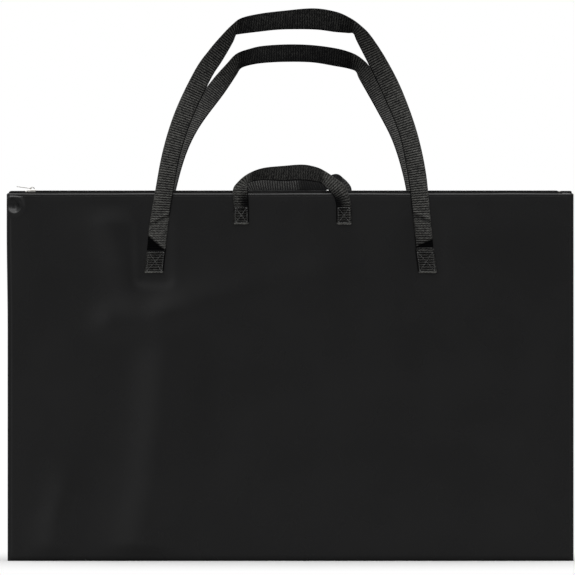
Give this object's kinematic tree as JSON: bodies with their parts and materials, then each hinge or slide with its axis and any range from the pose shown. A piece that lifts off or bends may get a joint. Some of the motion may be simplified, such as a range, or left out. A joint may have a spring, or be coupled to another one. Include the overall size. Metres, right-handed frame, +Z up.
{
  "type": "portfolio case",
  "caption": "Flat zip-top portfolio case in black vinyl, with long shoulder straps and short hand handles of ribbed webbing sewn to both faces.",
  "frame": {"origin": "on the floor under the middle of the case's bottom seam", "axes": "+X along the mouth, from the zipper's closed end to its open end; the front panel faces -Y; +Z up"},
  "size_m": [0.928, 0.2304, 0.909],
  "materials": {
    "vinyl": "satin black sheet with soft waves",
    "webbing": "black ribbed woven webbing",
    "thread": "black sewing thread",
    "zipper_tape": "black woven tape",
    "zipper_coil": "black nylon coil",
    "nickel": "bright nickel plate",
    "lining": "black backing fabric"
  },
  "bodies": {
    "case": {"front_panel": "vinyl", "front_zipper_tape": "zipper_tape", "front_zipper_coil": "zipper_coil", "front_hem_stitch": "thread", "front_shoulder_strap_left_tab": "webbing", "front_shoulder_strap_left_stitch": "thread", "front_shoulder_strap_left_patch": "lining", "front_shoulder_strap_right_tab": "webbing", "front_shoulder_strap_right_stitch": "thread", "front_shoulder_strap_right_patch": "lining", "front_hand_handle_left_tab": "webbing", "front_hand_handle_left_stitch": "thread", "front_hand_handle_left_patch": "lining", "front_hand_handle_right_tab": "webbing", "front_hand_handle_right_stitch": "thread", "front_hand_handle_right_patch": "lining", "back_panel": "vinyl", "back_zipper_tape": "zipper_tape", "back_zipper_coil": "zipper_coil", "back_hem_stitch": "thread", "back_shoulder_strap_left_tab": "webbing", "back_shoulder_strap_left_stitch": "thread", "back_shoulder_strap_left_patch": "lining", "back_shoulder_strap_right_tab": "webbing", "back_shoulder_strap_right_stitch": "thread", "back_shoulder_strap_right_patch": "lining", "back_hand_handle_left_tab": "webbing", "back_hand_handle_left_stitch": "thread", "back_hand_handle_left_patch": "lining", "back_hand_handle_right_tab": "webbing", "back_hand_handle_right_stitch": "thread", "back_hand_handle_right_patch": "lining", "left_seam_binding": "lining", "right_seam_binding": "lining", "bottom_seam_binding": "lining", "left_tape_end": "zipper_tape", "right_tape_end": "zipper_tape", "closed_end_stop": "nickel", "open_end_stop": "nickel"},
    "slider": {"slider_body": "nickel", "slider_bail": "nickel"},
    "pull": {"slider_pull": "nickel"},
    "front_shoulder_strap": {"front_shoulder_strap_loop": "webbing"},
    "front_hand_handle": {"front_hand_handle_loop": "webbing"},
    "back_shoulder_strap": {"back_shoulder_strap_loop": "webbing"},
    "back_hand_handle": {"back_hand_handle_loop": "webbing"}
  },
  "joints": [
    {"name": "slider_travel", "type": "slide", "parent": "case", "child": "slider", "axis": [1, 0, 0], "range_m": [0, 0.859]},
    {"name": "pull_flip", "type": "hinge", "parent": "slider", "child": "pull", "pos_m": [-0.4259, 0, 0.61245], "axis": [0, 1, 0], "range_deg": [0, 160]},
    {"name": "front_shoulder_strap_swing", "type": "hinge", "parent": "case", "child": "front_shoulder_strap", "pos_m": [0, -0.0111, 0.513], "axis": [1, 0, 0], "range_deg": [0, 165]},
    {"name": "back_shoulder_strap_swing", "type": "hinge", "parent": "case", "child": "back_shoulder_strap", "pos_m": [0, 0.0111, 0.513], "axis": [-1, 0, 0], "range_deg": [-31, 134]},
    {"name": "front_hand_handle_swing", "type": "hinge", "parent": "case", "child": "front_hand_handle", "pos_m": [0, -0.0111, 0.586], "axis": [1, 0, 0], "range_deg": [0, 160]},
    {"name": "back_hand_handle_swing", "type": "hinge", "parent": "case", "child": "back_hand_handle", "pos_m": [0, 0.0111, 0.586], "axis": [-1, 0, 0], "range_deg": [-38, 122]}
  ]
}
